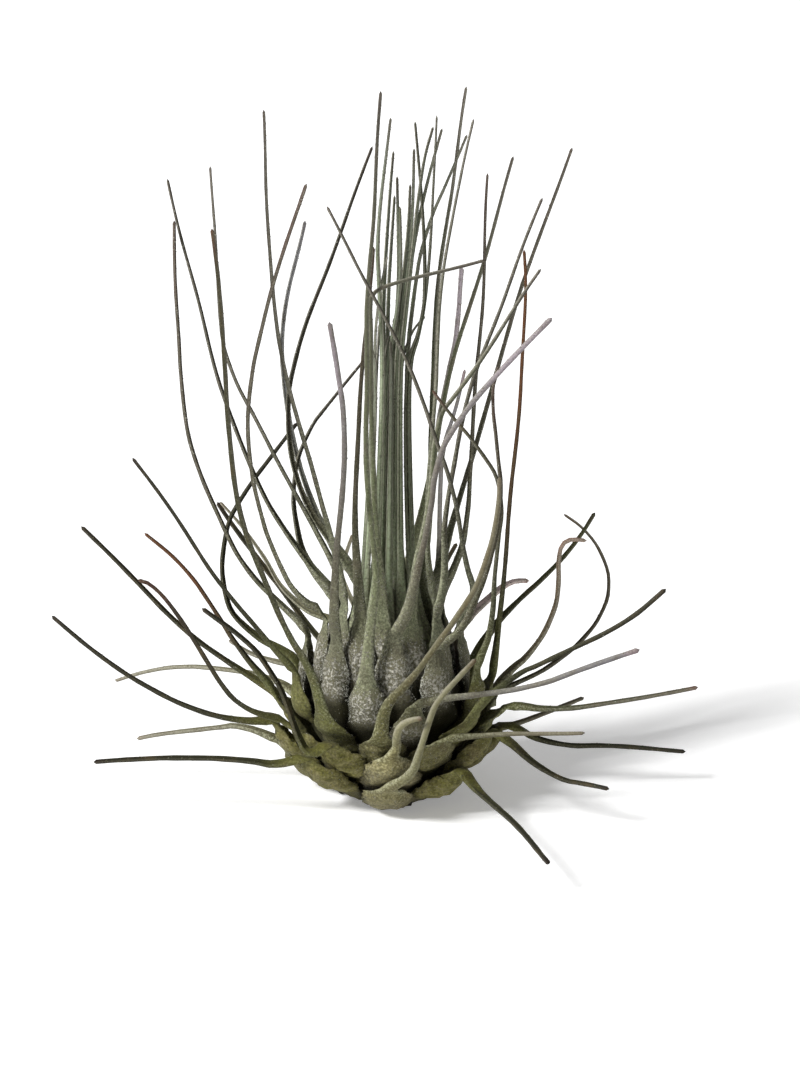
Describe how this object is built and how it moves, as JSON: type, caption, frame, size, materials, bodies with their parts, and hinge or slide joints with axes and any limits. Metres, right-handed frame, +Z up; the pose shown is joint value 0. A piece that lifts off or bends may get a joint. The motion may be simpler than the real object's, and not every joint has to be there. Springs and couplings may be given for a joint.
{
  "type": "air plant",
  "caption": "Bare-rooted air plant: a rounded bulb of overlapping leaf sheaths, each drawn out into a long fine blade, round an upright central tuft; stands on its flattened underside.",
  "frame": {"origin": "middle of the flat spot under the bulb that the plant rests on", "axes": "+Z up along the stem and the central tuft, +X to the picture's right, -Y toward its viewer"},
  "size_m": [0.1113, 0.1077, 0.1248],
  "materials": {
    "leaf_lower": "matte",
    "leaf_middle": "matte",
    "leaf_upper": "matte",
    "tuft": "matte",
    "stem": "matte"
  },
  "bodies": {
    "root": {"stem": "stem", "leaf_01": "leaf_lower", "leaf_02": "leaf_lower", "leaf_03": "leaf_lower", "leaf_04": "leaf_lower", "leaf_05": "leaf_lower", "leaf_06": "leaf_lower", "leaf_07": "leaf_lower", "leaf_08": "leaf_lower", "leaf_09": "leaf_lower", "leaf_10": "leaf_lower", "leaf_11": "leaf_lower", "leaf_12": "leaf_lower", "leaf_13": "leaf_lower", "leaf_14": "leaf_lower", "leaf_15": "leaf_lower", "leaf_16": "leaf_lower", "leaf_17": "leaf_middle", "leaf_18": "leaf_middle", "leaf_19": "leaf_middle", "leaf_20": "leaf_middle", "leaf_21": "leaf_middle", "leaf_22": "leaf_middle", "leaf_23": "leaf_middle", "leaf_24": "leaf_middle", "leaf_25": "leaf_middle", "leaf_26": "leaf_middle", "leaf_27": "leaf_middle", "leaf_28": "leaf_middle", "leaf_29": "leaf_middle", "leaf_30": "leaf_middle", "leaf_31": "leaf_middle", "leaf_32": "leaf_middle", "leaf_33": "leaf_middle", "leaf_34": "leaf_middle", "leaf_35": "leaf_upper", "leaf_36": "leaf_upper", "leaf_37": "leaf_upper", "leaf_38": "leaf_upper", "leaf_39": "leaf_upper", "leaf_40": "leaf_upper", "leaf_41": "leaf_upper", "leaf_42": "leaf_upper", "leaf_43": "leaf_upper", "leaf_44": "leaf_upper", "leaf_45": "leaf_upper", "leaf_46": "leaf_upper", "leaf_47": "leaf_upper", "leaf_48": "leaf_upper", "leaf_49": "leaf_upper", "leaf_50": "leaf_upper", "leaf_51": "leaf_upper", "leaf_52": "leaf_upper", "leaf_53": "leaf_upper", "leaf_54": "leaf_upper", "leaf_55": "leaf_upper", "leaf_56": "leaf_upper", "leaf_57": "leaf_upper", "leaf_58": "leaf_upper", "tuft": "tuft"}
  },
  "joints": []
}
